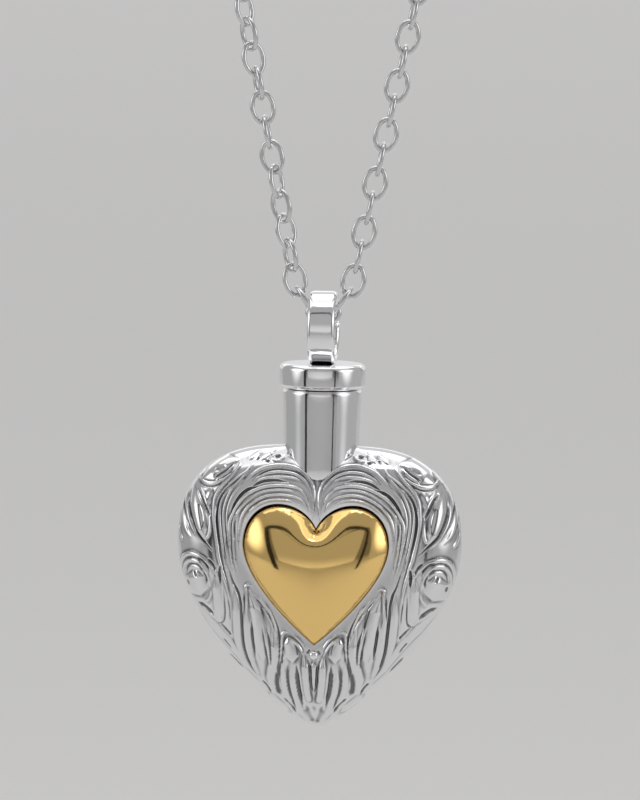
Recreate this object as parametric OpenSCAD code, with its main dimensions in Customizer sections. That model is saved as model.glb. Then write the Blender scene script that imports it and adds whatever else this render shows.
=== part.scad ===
// Keepsake urn pendant: a hollow heart with a screw cap and a bail, hanging on a cable chain.
// Millimetres. +Z is up and the ornament faces -Y. The origin is where the crown of the
// chain lies on its holder. Shapes in the plane of the heart are drawn in shares: x in
// hundredths of its half width, z in hundredths of its half height, with the tip at 0.

/* [Heart] */
// Width of the heart over its two lobes
heart_w = 16.5; // [12:0.1:24]
// Height of the heart from its tip to its shoulders
heart_h = 16.4; // [12:0.1:24]
// Depth of the domed front, from the middle plane to the edge of the recess
front_depth = 2.6; // [2.3:0.05:3.2]
// Depth of the smooth domed back
back_depth = 2.6; // [2.3:0.05:3.2]
// Height of the raised ornament over the domed front
relief_h = 0.2; // [0.1:0.01:0.3]
// Thickness of the metal between the outside and the hollow
shell_wall = 1.0; // [0.8:0.05:1.2]

/* [Gold heart] */
// Depth of the recess that the gold heart sits in
recess_depth = 0.7; // [0.4:0.05:0.9]
// Height of the gold heart's flat edge
gold_edge = 0.5; // [0.3:0.05:0.7]
// Rise of the gold heart's dome over its edge
gold_rise = 1.5; // [0.8:0.05:2]
// Clearance under the gold heart
gold_gap = 0.05; // [0.03:0.01:0.1]
// Radius of the bead under the gold heart
bead_r = 0.26; // [0.15:0.01:0.35]

/* [Neck] */
// Diameter of the neck at its top
neck_top_d = 4.6; // [4.4:0.05:4.8]
// Diameter of the neck where it enters the heart
neck_base_d = 4.3; // [4:0.05:4.4]
// Height of the top of the neck over the heart's tip
neck_z = 19.7; // [19:0.1:22]
// Length of the straight top of the neck, over its taper
neck_straight = 1.0; // [0.6:0.1:1.6]
// Length of the neck's taper
neck_taper = 1.1; // [0.8:0.1:1.6]
// Radius of the neck's rounded rim
neck_rim = 0.18; // [0.1:0.01:0.25]
// Diameter of the bore down the neck
bore_d = 2.7; // [2.4:0.05:3]

/* [Cap] */
// Diameter of the cap
cap_d = 5.0; // [4.9:0.05:5.6]
// Height of the cap
cap_h = 1.45; // [1.2:0.05:2]
// Radius of the cap's rounded top edge
cap_round = 0.35; // [0.15:0.05:0.5]
// Bevel under the cap
cap_bevel = 0.22; // [0.1:0.02:0.3]
// Gap between the cap and the neck
cap_gap = 0.05; // [0.03:0.01:0.1]
// Length of the threaded stud under the cap
stud_len = 2.4; // [1.5:0.1:3]
// Clearance between the stud and the bore
thread_gap = 0.08; // [0.05:0.01:0.15]
// Pitch of the thread
thread_pitch = 0.4; // [0.3:0.05:0.5]
// Depth of the thread
thread_depth = 0.14; // [0.08:0.01:0.2]

/* [Bail] */
// Width of the bail's band, along the chain
bail_w = 1.6; // [1.3:0.05:1.6]
// Thickness of the bail's band
bail_t = 0.45; // [0.35:0.05:0.55]
// Depth of the bail, front to back
bail_depth = 4.0; // [3.8:0.05:4.4]
// Height of the bail over the cap
bail_h = 4.2; // [4.2:0.05:4.8]
// Rounding of the band's edges, through its thickness
bail_edge = 0.2; // [0.1:0.01:0.2]
// Rounding of the band's edges, across its width
bail_round = 0.27; // [0.1:0.01:0.3]

/* [Chain] */
// Length of the whole loop of chain
chain_len = 457; // [400:1:610]
// Width of one link
link_w = 1.5; // [1.4:0.02:1.6]
// Thickness of a link's wire
wire_d = 0.28; // [0.24:0.01:0.3]
// Distance from one link to the next
link_pitch = 1.45; // [1.35:0.01:1.5]
// Play between linked wires
link_gap = 0.12; // [0.1:0.01:0.15]
// Gap between the bail and the link that carries it
bail_gap = 0.1; // [0.08:0.01:0.12]
// Lean of each strand from the vertical
strand_lean = 11.6; // [8:0.1:16]
// Lean of the two links that leave the bail
first_lean = 34.7; // [28:0.1:38]
// Shift of those two links up and inwards, so that the bent joint keeps its play
first_shift = 0.12; // [0.1:0.01:0.15]
// Turn from one link to the next on the left strand
left_turn = 101; // [86:1:104]
// Turn from one link to the next on the right strand
right_turn = 91; // [86:1:104]
// Links on each side of the bail that are modelled one by one
front_links = 14; // [6:1:18]

/* [Clasp] */
// Outer diameter of the clasp's ring
clasp_d = 5.4; // [5:0.1:7]
// Thickness of the clasp's wire
clasp_wire = 0.9; // [0.7:0.05:1.1]
// Outer diameter of the clasp's eye
eye_d = 2.0; // [1.7:0.1:2.4]
// Thickness of the eye's wire
eye_wire = 0.4; // [0.3:0.05:0.5]
// Gap between the chain's back stretch and what it meets
chain_gap = 0.15; // [0.1:0.05:0.3]

/* [Hidden] */
$fn = 48;

// Points round half the heart and rings across its front
half_steps = 66;
front_rings = 26;
back_rings = 6;
gold_steps = 26;
gold_rings = 7;
hollow_steps = 12;

// Outlines as cubic curves, one row a stretch: x1, z1, x2, z2, x3, z3, x4, z4
HEART_OUTLINE = [
    [0, 198, 72, 209, 100, 178, 100, 134],
    [100, 134, 102, 93, 66, 47, 22, 11.3],
    [22, 11.3, 14, 5, 8, 0, 0, 0]
];
GOLD_OUTLINE = [
    [0, 142, 3, 149, 12, 158.5, 26, 158.5],
    [26, 158.5, 40, 158.5, 50.5, 147, 50.5, 131],
    [50.5, 131, 50.5, 112, 29, 85, 0, 61]
];
// Share of the way round at which each stretch ends
HEART_ENDS = [0, 0.45, 0.92, 1];
GOLD_ENDS = [0, 0.14, 0.5, 1];
// The recess is the gold heart's outline, widened from this height
recess_from = 75;
recess_wide = 1.02;
recess_tall = 1.04;
// Middle of the heart, where the rings of its back close
heart_mid = 112;

// Raised strokes of the right half, one row each: height as a share of relief_h, half
// width, pointed ends (0 none, 1 the first, 2 the last, 3 both), points x, z
RIDGES = [
    // Arches over the lobe of the gold heart, from the inside out
    [1.0, 3.0, 3, [[5, 154], [11, 161], [19, 165.5], [28, 166.5], [39, 163.5], [48, 156], [54, 145], [55, 130],
        [52, 112]]],
    [1.0, 2.8, 3, [[6, 162], [12, 171], [20, 175.5], [29, 176], [40, 173], [50, 166], [57, 154], [60, 142],
        [59.5, 128], [56, 110]]],
    [1.1, 3.3, 3, [[2.5, 152], [3, 170], [8, 181], [18, 186], [28, 187], [38, 184], [46, 178], [50, 172]]],
    // Bands that flow from the shoulder down the side
    [1.0, 2.7, 3, [[46, 188], [55, 180], [62, 169], [66, 155], [66.5, 140], [64.5, 124], [60, 104]]],
    [1.1, 3.0, 3, [[54, 193], [60, 184], [67, 173], [71.5, 158], [72, 142], [69.5, 124], [67, 108], [66, 92]]],
    [0.9, 4.0, 3, [[60, 104], [57, 90], [56, 74], [53, 58], [46, 43], [38, 32]]],
    [0.9, 3.6, 3, [[70, 120], [69, 104], [68, 88], [65, 72], [56, 56]]],
    // Teardrop scroll on the shoulder
    [1.6, 6.5, 3, [[55, 194], [63, 190], [71, 184], [80, 177]]],
    // Leaf and crescents on the outer edge
    [1.4, 5.0, 3, [[87, 170], [84, 158], [81, 146], [78, 136]]],
    [1.0, 3.0, 3, [[90, 170], [94, 158], [93, 147], [87, 136], [80, 130]]],
    [0.9, 3.0, 3, [[84, 172], [79, 162], [75, 153]]],
    // Side scroll with the arch over it
    [1.5, 8.5, 3, [[88, 114], [85, 104], [81, 93]]],
    [1.1, 2.8, 3, [[69, 106], [73, 116], [80, 123], [88, 126], [95, 122], [97.5, 112]]],
    // Feather leaves of the lower half
    [1.3, 5.0, 3, [[47, 101], [46, 88], [42, 70], [36, 52], [30, 38]]],
    [1.2, 3.4, 3, [[43, 99], [36, 88], [28, 78], [22, 66]]],
    [1.3, 5.0, 3, [[24, 68], [26, 56], [25, 43], [21, 30], [15, 17]]],
    [1.1, 4.0, 3, [[17, 62], [12, 54], [8, 44], [7, 30], [5, 18]]],
    [0.7, 2.4, 3, [[0, 50], [0, 28]]],
    // Long leaf beside the lower edge
    [1.1, 3.6, 3, [[88, 91], [80, 82], [70, 72], [60, 61], [50, 49], [40, 38], [30, 27], [20, 17]]]
];

// Cut strokes of the right half, in the same columns, with the depth in place of the height
GROOVES = [
    [1.1, 2.2, 3, [[57, 103], [53, 94], [52.5, 80], [51, 64], [47, 50], [42, 40]]],
    [1.2, 2.6, 3, [[11.5, 48], [11, 36], [10, 22]]],
    [1.1, 3.0, 3, [[28, 41], [27, 33], [23, 22]]],
    [0.9, 2.2, 3, [[85, 169], [80, 160], [75, 151]]]
];

// Sizes of one share
share_x = heart_w / 200;
share_z = heart_h / 200;

// Heights in the pendant, over the heart's tip
cap_z = neck_z + cap_gap;
cap_top_z = cap_z + cap_h;
bail_sink = bail_t / 4;
bail_top_z = cap_top_z + bail_h;
bail_mid_r = bail_depth / 2 - bail_t / 2;
bail_upper_z = bail_top_z - bail_depth / 2;
bail_lower_z = cap_top_z - bail_sink + bail_depth / 2;
chain_z = bail_top_z - bail_t - bail_gap - link_w / 2;
recess_floor_y = front_depth - recess_depth;

// The loop of chain in its upright plane: two links leave the bail at first_lean, then each
// strand rises straight at strand_lean to a half round of loop_r over the holder
link_len = link_pitch + 2 * wire_d + link_gap;
side_x = link_pitch / 2 + link_pitch * sin(first_lean);
side_dz = link_pitch * cos(first_lean);
arc_len_per_r = PI / 2 + strand_lean * PI / 180;
straight_for_loop = chain_len / 2 - 1.5 * link_pitch;
loop_h = (straight_for_loop + side_x * sin(strand_lean) - side_x * cos(strand_lean) * arc_len_per_r)
    / (cos(strand_lean) + sin(strand_lean) * arc_len_per_r);
loop_r = side_x * cos(strand_lean) + loop_h * sin(strand_lean);
straight_len = loop_h * cos(strand_lean) - side_x * sin(strand_lean);
loop_mid_z = link_w / 2 - loop_r;
side_z = loop_mid_z - loop_h;
pivot_z = side_z - side_dz;
pendant_z = pivot_z - chain_z;

// Back stretch of the chain: rings of the swept tube on each side
tube_sides = 8;
tube_ring_step = 5.4;
eye_x = clasp_d / 2 + eye_d / 2 - 1.5 * eye_wire;

// A cubic curve through one row of an outline, in shares
function cubic(r, t) = [for (k = [0, 1])
    pow(1 - t, 3) * r[k] + 3 * t * pow(1 - t, 2) * r[k + 2]
    + 3 * t * t * (1 - t) * r[k + 4] + pow(t, 3) * r[k + 6]];

// Point of an outline at the share s of the way from its top to its tip
function outline_at(rows, ends, s, k = 0) =
    (s <= ends[k + 1] || k == len(rows) - 1)
        ? cubic(rows[k], (s - ends[k]) / (ends[k + 1] - ends[k]))
        : outline_at(rows, ends, s, k + 1);

function heart_at(s) = outline_at(HEART_OUTLINE, HEART_ENDS, s);
function gold_at(s) = outline_at(GOLD_OUTLINE, GOLD_ENDS, s);
function recess_at(s) = let (p = gold_at(s)) [p[0] * recess_wide, recess_from + (p[1] - recess_from) * recess_tall];

// Smooth line through hand-chosen points, with n steps between two of them
function bend(p, i, t) = let (
    a = p[max(i - 1, 0)],
    b = p[i],
    c = p[i + 1],
    d = p[min(i + 2, len(p) - 1)]
) 0.5 * (2 * b + (c - a) * t + (2 * a - 5 * b + 4 * c - d) * t * t + (3 * b - 3 * c + d - a) * t * t * t);
function smooth_line(p, n) = concat([for (i = [0 : len(p) - 2]) for (t = [0 : n - 1]) bend(p, i, t / n)], [p[len(p) - 1]]);

// A stroke with its smooth line and the box round it
function ready(stroke) = let (
    line = smooth_line(stroke[3], 2),
    xs = [for (p = line) p[0]],
    zs = [for (p = line) p[1]],
    w = stroke[1]
) [stroke[0], w, stroke[2], line, min(xs) - w, max(xs) + w, min(zs) - w, max(zs) + w];
ready_ridges = [for (s = RIDGES) ready(s)];
ready_grooves = [for (s = GROOVES) ready(s)];

// Narrowing of a stroke towards its pointed ends, u being the share of the way along it
function narrowing(ends, u) =
    min(ends % 2 == 1 ? min(1, 0.25 + 3.2 * u) : 1, ends >= 2 ? min(1, 0.25 + 3.2 * (1 - u)) : 1);

// Height of one piece of a stroke's line at the point p, with a soft round section
function piece_height(p, a, b, w, ends, u0, du) = let (
    ab = b - a,
    f = max(0, min(1, (p - a) * ab / (ab * ab))),
    q = norm(p - a - ab * f) / w,
    narrow = q < 1 ? narrowing(ends, u0 + f * du) : 1
) q < narrow ? pow(1 - pow(q / narrow, 2), 1.5) * narrow : 0;

function stroke_height(p, s) =
    p[0] < s[4] || p[0] > s[5] || p[1] < s[6] || p[1] > s[7] ? 0
        : let (n = len(s[3]) - 1)
            s[0] * max([for (i = [0 : n - 1]) piece_height(p, s[3][i], s[3][i + 1], s[1], s[2], i / n, 1 / n)]);

function relief_at(p) =
    max([for (s = ready_ridges) stroke_height(p, s)]) - 0.7 * max([for (s = ready_grooves) stroke_height(p, s)]);

// The domed front between the recess, t = 0, and the heart's edge, t = 1
function front_point(s, t) = let (
    inner = recess_at(s),
    outer = heart_at(s),
    p = inner + (outer - inner) * t,
    lift = relief_h * relief_at(p) * sqrt(1 - pow(t, 4))
) [p[0] * share_x, -front_depth * sqrt(1 - pow(t, 2.2)) - lift, p[1] * share_z];

// Share of the way out of each ring of the front, closer together at the edge
function ring_at(j) = 0.5 * j / front_rings + 0.5 * sin(90 * j / front_rings);

function back_point(s, t) = let (p = heart_at(s))
    [p[0] * t * share_x, back_depth * sqrt(1 - pow(t, 2.4)), (heart_mid + (p[1] - heart_mid) * t) * share_z];

function recess_point(s, t) = let (p = recess_at(s))
    [p[0] * t * share_x, -recess_floor_y, (heart_mid + (p[1] - heart_mid) * t) * share_z];

// A ring round the whole heart from its right half, top to tip
function whole(half) = concat(
    half,
    [for (i = [len(half) - 2 : -1 : 1]) [-half[i][0], half[i][1], half[i][2]]]
);

// Solid between two end points through a list of equal rings
module rings_solid(first, rings, last) {
    n = len(rings[0]);
    m = len(rings);
    points = concat([first], [for (r = rings) each r], [last]);
    faces = concat(
        [for (i = [0 : n - 1]) [0, 1 + i, 1 + (i + 1) % n]],
        [for (j = [0 : m - 2]) for (i = [0 : n - 1]) let (
            a = 1 + j * n + i,
            b = 1 + j * n + (i + 1) % n
        ) each [[a, b + n, b], [a, a + n, b + n]]],
        [for (i = [0 : n - 1]) [m * n + 1, 1 + (m - 1) * n + (i + 1) % n, 1 + (m - 1) * n + i]]
    );
    polyhedron(points, faces, convexity = 8);
}

// The cast heart, solid, with its recess and ornament
module heart_cast() {
    steps = [for (i = [0 : half_steps]) i / half_steps];
    rings_solid(
        [0, -recess_floor_y, heart_mid * share_z],
        concat(
            [for (t = [0.5, 1]) whole([for (s = steps) recess_point(s, t)])],
            [for (j = [0 : front_rings]) whole([for (s = steps) front_point(s, ring_at(j))])],
            [for (j = [1 : back_rings]) whole([for (s = steps) back_point(s, 1 - pow(j / (back_rings + 1), 1.6))])]
        ),
        [0, back_depth, heart_mid * share_z]
    );
}

// The hollow inside the heart, shell_wall in from its outside
module heart_hollow() {
    steps = [for (i = [0 : hollow_steps]) i / hollow_steps];
    in_x = 1 - 2.4 * shell_wall / heart_w;
    in_z = 1 - 3.2 * shell_wall / heart_h;
    front_y = recess_floor_y - shell_wall;
    back_y = back_depth - shell_wall;
    rings_solid(
        [0, -front_y, heart_mid * share_z],
        [for (r = [[0.6, -1], [0.92, -0.5], [0.92, 0.5], [0.6, 1]]) whole([for (s = steps) let (p = heart_at(s)) [
            p[0] * in_x * r[0] * share_x,
            r[1] < 0 ? r[1] * front_y : r[1] * back_y,
            (heart_mid + (p[1] - heart_mid) * in_z * r[0]) * share_z
        ]])],
        [0, back_y, heart_mid * share_z]
    );
}

// Neck that rises from the cleft, with a rounded rim and a cone for its root
module neck_tube() {
    rotate_extrude() polygon([
        [0, 160 * share_z],
        [neck_base_d / 4, 160 * share_z],
        [neck_base_d / 2, 179 * share_z],
        [neck_base_d / 2, neck_z - neck_straight - neck_taper],
        [neck_top_d / 2, neck_z - neck_straight],
        for (a = [0 : 30 : 90]) [neck_top_d / 2 - neck_rim * (1 - cos(a)), neck_z - neck_rim * (1 - sin(a))],
        [0, neck_z]
    ]);
}

module heart_urn() color("silver") translate([0, 0, pendant_z]) {
    difference() {
        union() {
            heart_cast();
            neck_tube();
            translate([0, -front_depth + bead_r * 0.2, 53.5 * share_z]) sphere(r = bead_r);
        }
        heart_hollow();
        translate([0, 0, heart_mid * share_z]) cylinder(d = bore_d, h = neck_z);
    }
}

// Domed gold heart that fills the recess
module gold_heart() color("gold") translate([0, 0, pendant_z]) {
    steps = [for (i = [0 : gold_steps]) i / gold_steps];
    back_y = -recess_floor_y - gold_gap;
    edge_y = back_y - gold_edge;
    mid = [0, heart_mid];
    rings_solid(
        [0, edge_y - gold_rise, heart_mid * share_z],
        concat(
            [for (j = [1 : gold_rings]) let (t = pow(j / gold_rings, 0.62)) whole([for (s = steps) let (p = mid + (gold_at(s) - mid) * t)
                [p[0] * share_x, edge_y - gold_rise * sqrt(1 - pow(t, 2.2)), p[1] * share_z]])],
            [for (t = [1, 0.5]) whole([for (s = steps) let (p = mid + (gold_at(s) - mid) * t)
                [p[0] * share_x, back_y, p[1] * share_z]])]
        ),
        [0, back_y, heart_mid * share_z]
    );
}

// Turned cap with its threaded stud
module cap_turned() {
    r = cap_d / 2;
    stud_r = bore_d / 2 - thread_gap;
    turns = floor((stud_len - thread_pitch) / thread_pitch);
    rotate_extrude() polygon(concat(
        [[0, cap_z], [r - cap_bevel, cap_z], [r, cap_z + cap_bevel]],
        [for (a = [0 : 15 : 90]) [r - cap_round + cap_round * cos(a), cap_top_z - cap_round + cap_round * sin(a)]],
        [[0, cap_top_z]]
    ));
    rotate_extrude() polygon(concat(
        [[0, cap_z + cap_bevel], [0, cap_z - stud_len], [stud_r - thread_depth, cap_z - stud_len]],
        [for (i = [0 : turns - 1]) for (k = [0, 1])
            [stud_r - (1 - k) * thread_depth, cap_z - stud_len + (i + (k + 1) / 2) * thread_pitch]],
        [[stud_r - thread_depth, cap_z - stud_len + (turns + 0.5) * thread_pitch], [stud_r - thread_depth, cap_z + cap_bevel]]
    ));
}

// Section of the bail's band: flat faces with rounded edges
module band_section() {
    flat_x = bail_t / 2 - bail_edge;
    flat_y = bail_w / 2 - bail_round;
    polygon([for (q = [[1, 1, 0], [-1, 1, 90], [-1, -1, 180], [1, -1, 270]]) for (a = [0 : 18 : 90])
        [q[0] * flat_x + bail_edge * cos(q[2] + a), q[1] * flat_y + bail_round * sin(q[2] + a)]]);
}

// Bail: a band bent to an upright loop and soldered to the cap
module bail_loop() {
    for (up = [0, 1])
        translate([0, 0, up ? bail_upper_z : bail_lower_z])
            rotate([0, -90, 0]) rotate([0, 0, up ? -90 : 90])
                rotate_extrude(angle = 180) translate([bail_mid_r, 0]) band_section();
    for (side = [-1, 1])
        translate([0, side * bail_mid_r, bail_lower_z])
            rotate([0, 0, 90]) linear_extrude(height = bail_upper_z - bail_lower_z) band_section();
}

module cap_bail() color("silver") translate([0, 0, pendant_z]) {
    union() {
        cap_turned();
        bail_loop();
    }
}

// One oval link in the XZ plane, its length along Z
module link() {
    bend_r = (link_w - wire_d) / 2;
    side = link_len - link_w;
    union() {
        for (up = [0, 1])
            rotate([90, 0, 0]) translate([0, (up - 0.5) * side, 0]) rotate([0, 0, up ? 0 : 180])
                rotate_extrude(angle = 180) translate([bend_r, 0]) circle(d = wire_d);
        for (x = [-1, 1])
            translate([x * bend_r, 0, -side / 2]) cylinder(d = wire_d, h = side);
    }
}

// Links of the front stretch: one lies in the bail, the others climb on each side
module chain_front() color("gainsboro") {
    translate([0, 0, pivot_z]) rotate([0, 90, 0]) link();
    for (side = [-1, 1]) {
        turn = side < 0 ? left_turn : right_turn;
        for (k = [1 : front_links]) {
            lean = k == 1 ? first_lean : strand_lean;
            along = k == 1 ? link_pitch / 2 : (k - 1.5) * link_pitch;
            shift = k == 1 ? first_shift * sqrt(0.5) : 0;
            x = (k == 1 ? link_pitch / 2 : side_x) + along * sin(lean) - shift;
            z = (k == 1 ? pivot_z : side_z) + along * cos(lean) + shift;
            translate([side * x, 0, z]) rotate([0, side * lean, 0]) rotate([0, 0, turn * k]) link();
        }
    }
}

// Middle line of the chain on the right side at the length d from the straight's foot
function strand_point(d) = d < straight_len
    ? [side_x + d * sin(strand_lean), side_z + d * cos(strand_lean), strand_lean]
    : let (a = (d - straight_len) / loop_r * 180 / PI - strand_lean)
        [loop_r * cos(a), loop_mid_z + loop_r * sin(a), -a];

// Tube along the right strand from the front links to the clasp
module strand_tube(last_x) {
    start = (front_links - 1) * link_pitch + (link_len - link_pitch) / 2 + chain_gap;
    finish = straight_len + loop_r * (PI / 2 - asin(last_x / loop_r) * PI / 180 + strand_lean * PI / 180);
    count = ceil((finish - start) / tube_ring_step);
    rings = [for (i = [0 : count]) let (p = strand_point(start + (finish - start) * i / count))
        [for (k = [0 : tube_sides - 1]) let (b = 360 * (k + 0.5) / tube_sides) [
            p[0] + link_w / 2 * cos(b) * cos(p[2]),
            link_w / 2 * sin(b),
            p[1] - link_w / 2 * cos(b) * sin(p[2])
        ]]];
    n = tube_sides;
    polyhedron(
        [for (r = rings) each r],
        concat(
            [[for (k = [0 : n - 1]) k]],
            [for (j = [0 : count - 1]) for (k = [0 : n - 1]) let (a = j * n + k, b = j * n + (k + 1) % n)
                each [[a, a + n, b], [b, a + n, b + n]]],
            [[for (k = [n - 1 : -1 : 0]) count * n + k]]
        ),
        convexity = 6
    );
}

module chain_back() color("gainsboro") {
    strand_tube(eye_x + eye_d / 2 + chain_gap);
    mirror([1, 0, 0]) strand_tube(clasp_d / 2 + chain_gap);
}

// Ring clasp that lies flat on the holder, with an eye on its right and a thumb stud
module clasp() color("silver") {
    translate([0, 0, clasp_wire / 2]) union() {
        rotate_extrude() translate([clasp_d / 2 - clasp_wire / 2, 0]) circle(d = clasp_wire);
        translate([eye_x, 0, 0]) rotate_extrude() translate([eye_d / 2 - eye_wire / 2, 0]) circle(d = eye_wire);
        translate([0, -clasp_d / 2 + clasp_wire / 2, 0]) rotate([90, 0, 0]) cylinder(d = clasp_wire * 0.7, h = clasp_wire * 1.2);
    }
}

heart_urn();
gold_heart();
cap_bail();
chain_front();
chain_back();
clasp();
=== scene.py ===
import math

import bpy
import numpy as np
from mathutils import Matrix, Vector


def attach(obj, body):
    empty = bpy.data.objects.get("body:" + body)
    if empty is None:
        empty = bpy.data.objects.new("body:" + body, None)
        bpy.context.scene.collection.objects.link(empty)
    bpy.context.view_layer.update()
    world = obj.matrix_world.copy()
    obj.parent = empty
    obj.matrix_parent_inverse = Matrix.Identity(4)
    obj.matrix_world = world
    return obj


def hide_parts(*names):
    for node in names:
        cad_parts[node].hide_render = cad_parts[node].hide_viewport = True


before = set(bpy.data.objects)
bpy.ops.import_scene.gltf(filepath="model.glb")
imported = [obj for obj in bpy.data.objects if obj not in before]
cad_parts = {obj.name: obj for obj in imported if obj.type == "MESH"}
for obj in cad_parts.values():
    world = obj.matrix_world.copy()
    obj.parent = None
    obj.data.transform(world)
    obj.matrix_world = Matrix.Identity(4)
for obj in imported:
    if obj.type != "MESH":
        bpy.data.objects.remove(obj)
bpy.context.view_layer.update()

# The stage. The necklace hangs by itself over a plain pale floor, seen from a little to the
# right and from just above through a long lens, as in the photograph. Soft walls, panels and
# black bars stand round it for the polished metal to mirror.
MM = 0.001
pivot = Vector((0, 0, -203.268)) * MM
heart_tip_z = -227.368 * MM
view_az, view_el, view_roll = math.radians(5), math.radians(5), math.radians(1)
lens_distance = 0.6
image_wide, image_high = 640, 800
pixel = 0.058 * MM
pivot_px = (323.6, 313)
frame_width = image_wide * pixel


def direction(az, el):
    """Unit vector away from the pendant."""
    return Vector((math.sin(az) * math.cos(el), -math.cos(az) * math.cos(el), math.sin(el)))


towards = direction(view_az, view_el)
level_right = Vector((math.cos(view_az), math.sin(view_az), 0))
level_up = towards.cross(level_right)
right = level_right * math.cos(view_roll) + level_up * math.sin(view_roll)
up = level_up * math.cos(view_roll) - level_right * math.sin(view_roll)
aim = pivot - right * (pivot_px[0] - image_wide / 2) * pixel
aim += up * (pivot_px[1] - image_high / 2) * pixel
camera_data = bpy.data.cameras.new("camera")
camera_data.sensor_fit = "HORIZONTAL"
camera_data.sensor_width = 36
camera_data.lens = camera_data.sensor_width * lens_distance / frame_width
camera_data.clip_start, camera_data.clip_end = 0.01, 20
camera = bpy.data.objects.new("camera", camera_data)
turn = Matrix((right, up, towards)).transposed().to_4x4()
camera.matrix_world = Matrix.Translation(aim + towards * lens_distance) @ turn
bpy.context.collection.objects.link(camera)
bpy.context.scene.camera = camera


def plain_object(name, verts, faces, smooth=True):
    mesh = bpy.data.meshes.new(name)
    mesh.from_pydata([tuple(v) for v in verts], [], [tuple(f) for f in faces])
    mesh.update()
    if smooth:
        mesh.polygons.foreach_set("use_smooth", [True] * len(mesh.polygons))
    obj = bpy.data.objects.new(name, mesh)
    bpy.context.collection.objects.link(obj)
    return obj


def matte_sheet(name, corners, colour, rough=1.0):
    """Flat stage object of one colour, and the shader of its material."""
    sheet = plain_object(name, corners, [(0, 1, 2, 3)], False)
    material = bpy.data.materials.new(name)
    material.use_nodes = True
    shader = material.node_tree.nodes["Principled BSDF"]
    shader.inputs["Base Color"].default_value = (*colour, 1)
    shader.inputs["Roughness"].default_value = rough
    sheet.data.materials.append(material)
    return sheet, shader


floor_z = -0.4
floor_corners = [(-9, -6, floor_z), (9, -6, floor_z), (9, 12, floor_z), (-9, 12, floor_z)]
floor, _ = matte_sheet("studio_floor", floor_corners, (0.78, 0.77, 0.76), 0.9)


def from_pivot(azimuth, elevation, distance):
    """Place round the pendant, its azimuth counted from the camera's, in degrees."""
    return direction(math.radians(azimuth) + view_az, math.radians(elevation)) * distance


def soft_panel(name, azimuth, elevation, distance, wide, high, radiance, level=False):
    """Even area lamp of the studio, facing the pendant or, when level, straight down."""
    data = bpy.data.lights.new(name, "AREA")
    data.shape = "RECTANGLE"
    data.size, data.size_y = wide, high
    data.energy = math.pi * wide * high * radiance
    lamp = bpy.data.objects.new(name, data)
    place = from_pivot(azimuth, elevation, distance)
    lamp.location = pivot + place
    if not level:
        lamp.rotation_euler = place.to_track_quat("Z", "Y").to_euler()
    lamp.visible_camera = False
    bpy.context.collection.objects.link(lamp)


def black_bar(name, first, last, wide):
    """Flat black bar of the studio, from one point to another, facing the pendant."""
    across = (last - first).cross((first + last) / 2 - pivot).normalized() * wide / 2
    corners = [first - across, first + across, last + across, last - across]
    bar, _ = matte_sheet(name, corners, (0.01, 0.01, 0.01))
    bar.visible_camera = False


def soft_wall(name, azimuth, elevation, distance, wide, high, dim, bright, spot, spot_size):
    """Cloth wall lit from behind: bright at a spot and dimmer all round it, with no edge."""
    corners = [(x * wide / 2, y * high / 2, 0) for x, y in ((-1, -1), (1, -1), (1, 1), (-1, 1))]
    wall, shader = matte_sheet(name, corners, (0.02, 0.02, 0.02))
    place = from_pivot(azimuth, elevation, distance)
    wall.location = pivot + place
    wall.rotation_euler = place.to_track_quat("Z", "Y").to_euler()
    wall.visible_camera = False
    shader.inputs["Emission Strength"].default_value = bright
    tree = wall.data.materials[0].node_tree
    where = tree.nodes.new("ShaderNodeTexCoord")
    about_spot = tree.nodes.new("ShaderNodeMapping")
    about_spot.vector_type = "TEXTURE"
    about_spot.inputs["Location"].default_value = (*spot, 0)
    about_spot.inputs["Scale"].default_value = (*spot_size, 1)
    falloff = tree.nodes.new("ShaderNodeTexGradient")
    falloff.gradient_type = "SPHERICAL"
    level = tree.nodes.new("ShaderNodeValToRGB")
    level.color_ramp.interpolation = "EASE"
    level.color_ramp.elements[0].color = (dim / bright, dim / bright, dim / bright, 1)
    level.color_ramp.elements[1].position = 0.8
    tree.links.new(where.outputs["Object"], about_spot.inputs["Vector"])
    tree.links.new(about_spot.outputs["Vector"], falloff.inputs["Vector"])
    tree.links.new(falloff.outputs["Fac"], level.inputs["Fac"])
    tree.links.new(level.outputs["Color"], shader.inputs["Emission Color"])


soft_wall("front_wall", -7, 5, 1.8, 2.4, 2.4, 0.4, 0.85, (0, -0.75), (2.4, 0.9))
soft_panel("upper_fill", 0, 58, 1.2, 1.8, 0.8, 0.24)
soft_wall("left_wall", -92, 12, 0.7, 1.3, 1.1, 0.36, 1.9, (0.25, 0.05), (0.38, 0.38))
soft_wall("right_wall", 86, 12, 0.7, 1.3, 1.1, 0.4, 1.9, (-0.24, 0.04), (0.4, 0.38))
soft_panel("floor_light", 180, 33, 3.6, 6.0, 5.0, 0.56, True)
soft_panel("centre_softbox", 4, 74, 0.75, 0.25, 0.12, 2.5)
soft_panel("top_softbox", 180, 80, 1.4, 2.4, 1.6, 0.95)
soft_panel("back_wall", 180, 12, 6.0, 12, 3.4, 0.6)

# Two posts in front, joined by a gable of two bars, mirrored as the dark line in the gold
left_az, right_az, post_distance = -48, 34, 0.6
left_middle = pivot + from_pivot(left_az, 0, post_distance)
right_middle = pivot + from_pivot(right_az, 0, post_distance)
post_top = Vector((0, 0, 0.34))
post_foot = Vector((0, 0, floor_z - pivot.z))
gable = (left_middle + right_middle) / 2 + Vector((0, 0, 0.46))
bar_wide = 0.045
black_bar("left_post", left_middle + post_foot, left_middle + post_top, 0.07)
black_bar("right_post", right_middle + post_foot, right_middle + post_top, 0.04)
black_bar("left_bar", left_middle + post_top, gable, bar_wide)
black_bar("right_bar", gable, right_middle + post_top, bar_wide)

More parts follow.
